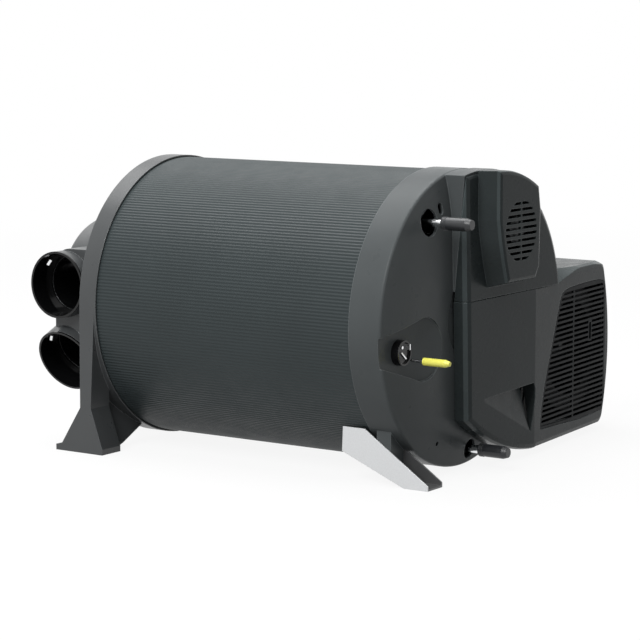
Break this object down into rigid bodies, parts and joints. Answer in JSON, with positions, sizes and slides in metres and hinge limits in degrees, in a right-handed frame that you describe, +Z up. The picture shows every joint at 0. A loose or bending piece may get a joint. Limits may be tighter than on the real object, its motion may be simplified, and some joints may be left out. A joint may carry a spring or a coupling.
{
  "type": "caravan water heater",
  "caption": "Horizontal drum heater for warm air and hot water, with duct sockets at the left end, moulded service covers and slatted air intake at the right end, and floor brackets.",
  "frame": {"origin": "centre of the footprint's bounding box, on the floor", "axes": "+X along the drum to the service end, +Y to the rear, where the fan box stands, +Z up"},
  "size_m": [0.51, 0.45, 0.3],
  "materials": {
    "jacket_sheet": "satin, fine lengthwise ribs",
    "cap_plastic": "satin grey moulding",
    "end_plastic": "satin grey moulding",
    "cover_plastic": "fine-grained charcoal moulding",
    "grille_plastic": "fine-grained charcoal moulding",
    "outlet_black": "glossy black",
    "seal_rubber": "matt",
    "insulation_foam": "soft foam",
    "stainless": "rolled sheet",
    "cast_aluminium": "as cast",
    "fastener_steel": "zinc plated",
    "fan_black": "matt black",
    "motor_grey": "satin",
    "board_green": "solder mask",
    "connector_white": "moulded",
    "sensor_brass": "turned",
    "bright_pipe": "polished",
    "cap_dark": "soft dark grey",
    "cap_yellow": "bright yellow",
    "inlet_black": "glossy black",
    "bracket_zinc": "zinc plated"
  },
  "bodies": {
    "heater": {"jacket": "jacket_sheet", "insulation_sleeve": "insulation_foam", "cap_seal_left": "seal_rubber", "cap_seal_right": "seal_rubber", "air_distribution_cap": "cap_plastic", "outlet_front_upper": "outlet_black", "outlet_front_lower": "outlet_black", "outlet_rear_upper": "outlet_black", "outlet_rear_lower": "outlet_black", "service_end_cap": "end_plastic", "electronics_lid": "cover_plastic", "lower_cover": "cover_plastic", "fan_box_rear": "cover_plastic", "intake_grille": "grille_plastic", "water_tank": "stainless", "heat_exchanger": "cast_aluminium", "burner_tube": "stainless", "burner_flange": "cast_aluminium", "burner_head": "cast_aluminium", "glow_plug": "fastener_steel", "flange_bolts": "fastener_steel", "air_fan_housing": "fan_black", "air_fan_motor": "motor_grey", "room_fan_housing": "fan_black", "room_fan_motor": "motor_grey", "control_board": "board_green", "board_connectors": "connector_white", "board_screws": "fastener_steel", "overheat_switch": "fan_black", "water_sensor": "sensor_brass", "hot_water_pipe": "bright_pipe", "cold_water_pipe": "bright_pipe", "fuel_pipe": "bright_pipe", "fuel_inlet": "inlet_black", "fuel_inlet_pins": "bright_pipe", "exhaust_stub": "stainless", "combustion_air_stub": "fan_black", "front_bracket": "bracket_zinc", "rear_bracket": "bracket_zinc", "bracket_screws": "fastener_steel"},
    "air_wheel": {"air_fan_impeller": "fan_black"},
    "room_wheel": {"room_fan_impeller": "fan_black"},
    "hot_cap": {"hot_water_cap": "cap_dark"},
    "cold_cap": {"cold_water_cap": "cap_dark"},
    "fuel_pipe_cap": {"fuel_cap": "cap_yellow"}
  },
  "joints": [
    {"name": "air_fan_spin", "type": "hinge", "parent": "heater", "child": "air_wheel", "pos_m": [0.218, -0.041, 0.238], "axis": [1, 0, 0], "continuous": true},
    {"name": "room_fan_spin", "type": "hinge", "parent": "heater", "child": "room_wheel", "pos_m": [0.18, 0.15, 0.095], "axis": [1, 0, 0], "continuous": true},
    {"name": "hot_cap_pull", "type": "slide", "parent": "heater", "child": "hot_cap", "axis": [1, 0, 0], "range_m": [0, 0.035]},
    {"name": "cold_cap_pull", "type": "slide", "parent": "heater", "child": "cold_cap", "axis": [1, 0, 0], "range_m": [0, 0.035]},
    {"name": "fuel_cap_pull", "type": "slide", "parent": "heater", "child": "fuel_pipe_cap", "axis": [1, 0, 0], "range_m": [0, 0.035]}
  ]
}
